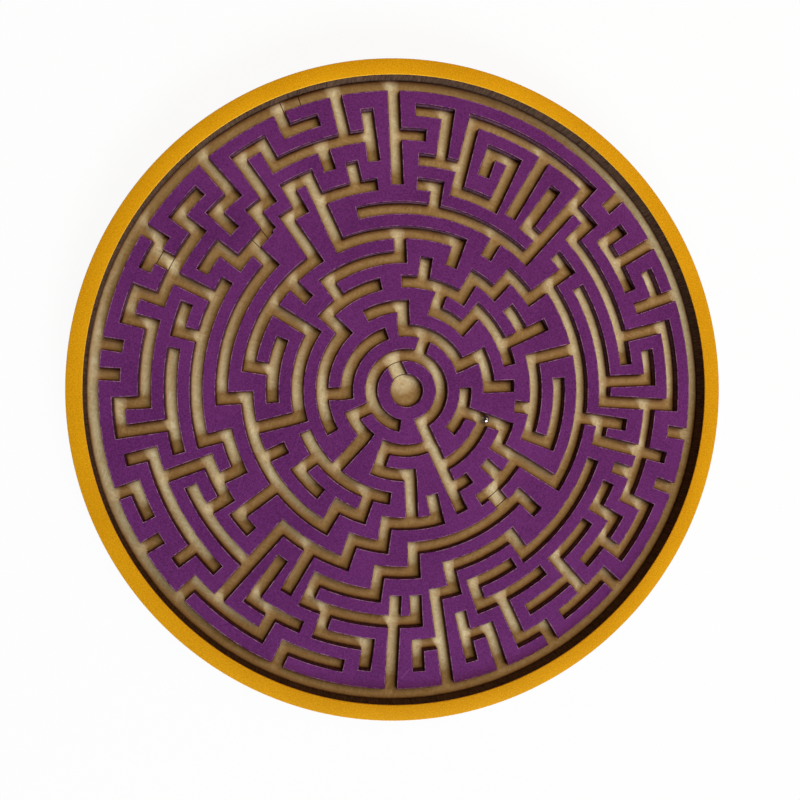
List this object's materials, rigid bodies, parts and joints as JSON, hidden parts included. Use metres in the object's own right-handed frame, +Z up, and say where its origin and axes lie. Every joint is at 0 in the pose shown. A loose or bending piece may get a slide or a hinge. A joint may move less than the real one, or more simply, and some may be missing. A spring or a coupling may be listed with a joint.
{
  "type": "dexterity puzzle",
  "caption": "Round tilt maze of painted board: ring and spoke channels cut through plates on a round base inside a raised rim, with a loose steel ball to guide to the middle.",
  "frame": {"origin": "middle of the underside of the base board", "axes": "+Z up, out of the open face of the maze; +X along the spoke channel in which the ball lies"},
  "size_m": [0.25, 0.25, 0.009],
  "materials": {
    "raw_board": "raw fibreboard, matt",
    "rim_paint": "fibreboard painted ochre yellow, satin",
    "maze_paint": "fibreboard painted purple, satin",
    "ball_steel": "polished steel"
  },
  "bodies": {
    "tray": {"base_board": "raw_board", "rim_ring_lower": "rim_paint", "rim_ring_upper": "rim_paint", "maze_plate_main": "maze_paint", "maze_plate_goal": "maze_paint", "maze_plate_west": "maze_paint", "maze_plate_south": "maze_paint"},
    "ball": {"steel_ball": "ball_steel"}
  },
  "joints": [
    {"name": "ball_roll", "type": "slide", "parent": "tray", "child": "ball", "axis": [1, 0, 0], "range_m": [-0.0107, 0.009]}
  ]
}
